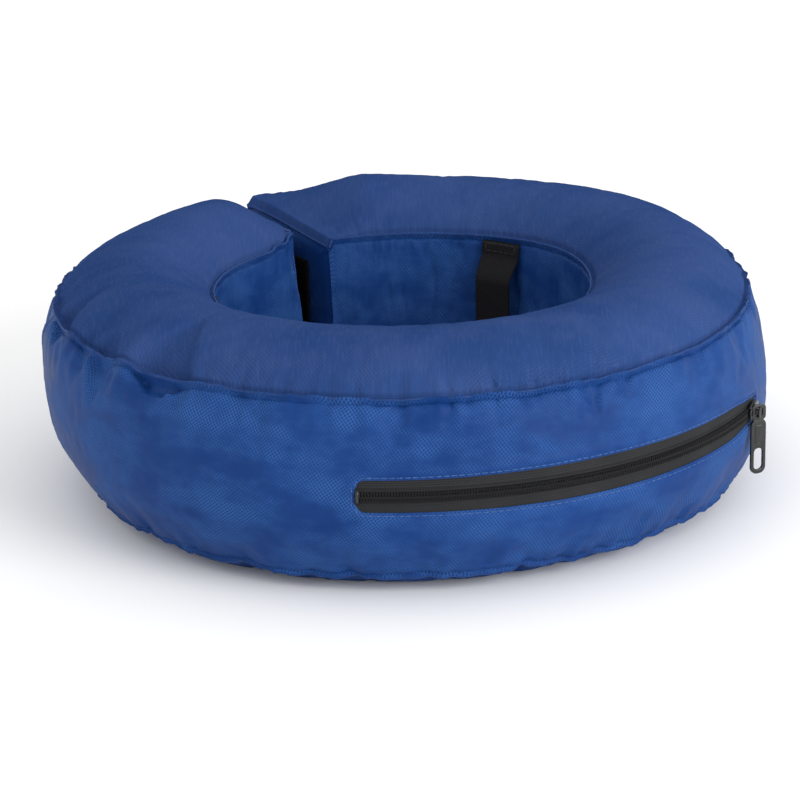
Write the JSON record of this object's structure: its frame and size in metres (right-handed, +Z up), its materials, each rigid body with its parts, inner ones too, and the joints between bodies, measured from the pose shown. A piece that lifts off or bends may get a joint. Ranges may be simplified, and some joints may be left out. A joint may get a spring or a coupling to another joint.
{
  "type": "inflatable pet recovery collar",
  "caption": "Inflatable ring collar in a zipped fabric cover, split at the back, with webbing loops round the neck hole for the pet's own collar.",
  "frame": {"origin": "centre of the ring on the surface that it lies on", "axes": "+Z up through the neck hole; -Y towards the front of the collar, where the zip starts; the split is at the back left"},
  "size_m": [0.385, 0.386, 0.119],
  "materials": {
    "cover_fabric": "royal blue coated nylon, fine weave, slight sheen",
    "bladder_film": "pale blue vinyl film",
    "valve_vinyl": "clear soft vinyl",
    "webbing": "black woven webbing",
    "hook_tape": "black hook tape",
    "loop_tape": "black loop pile",
    "zip_tape": "black woven tape",
    "zip_coil": "black nylon coil",
    "zip_metal": "black enamel over die-cast zinc"
  },
  "bodies": {
    "ring_front": {"top_panel_front": "cover_fabric", "bottom_panel_front": "cover_fabric", "outer_wall_front": "cover_fabric", "inner_wall_front": "cover_fabric", "bladder_front": "bladder_film", "valve_body": "valve_vinyl", "valve_flap": "valve_vinyl", "valve_tether": "valve_vinyl", "collar_loop_2": "webbing", "collar_loop_3": "webbing", "zip_tape_upper": "zip_tape", "zip_tape_lower": "zip_tape", "zip_coil_upper": "zip_coil", "zip_coil_lower": "zip_coil", "zip_stops": "zip_metal"},
    "left_arm": {"top_panel_left": "cover_fabric", "bottom_panel_left": "cover_fabric", "outer_wall_left": "cover_fabric", "inner_wall_left": "cover_fabric", "end_panel_left": "cover_fabric", "hook_patch": "hook_tape", "bladder_left": "bladder_film", "collar_loop_4": "webbing"},
    "right_arm": {"top_panel_right": "cover_fabric", "bottom_panel_right": "cover_fabric", "outer_wall_right": "cover_fabric", "inner_wall_right": "cover_fabric", "end_panel_right": "cover_fabric", "loop_patch": "loop_tape", "bladder_right": "bladder_film", "collar_loop_1": "webbing"},
    "slider": {"zip_slider": "zip_metal"},
    "pull": {"zip_pull": "zip_metal"},
    "plug": {"valve_plug": "valve_vinyl"}
  },
  "joints": [
    {"name": "left_arm_flex", "type": "hinge", "parent": "ring_front", "child": "left_arm", "pos_m": [-0.12928, -0.14358, 0.05475], "axis": [0, 0, 1], "range_deg": [0, 20], "stiffness_Nm_per_rad": 2},
    {"name": "right_arm_flex", "type": "hinge", "parent": "ring_front", "child": "right_arm", "pos_m": [0.18374, 0.0597, 0.05475], "axis": [0, 0, -1], "range_deg": [0, 20], "stiffness_Nm_per_rad": 2},
    {"name": "zip_travel", "type": "hinge", "parent": "ring_front", "child": "slider", "pos_m": [0, 0, 0.057], "axis": [0, 0, -1], "range_deg": [0, 69.5]},
    {"name": "pull_swing", "type": "hinge", "parent": "slider", "child": "pull", "pos_m": [0.178, -0.083, 0.057], "axis": [0.9063, -0.4226, 0], "range_deg": [-80, 80]},
    {"name": "plug_pull_out", "type": "slide", "parent": "ring_front", "child": "plug", "axis": [0.4848, -0.8746, 0], "range_m": [0, 0.0055]}
  ]
}
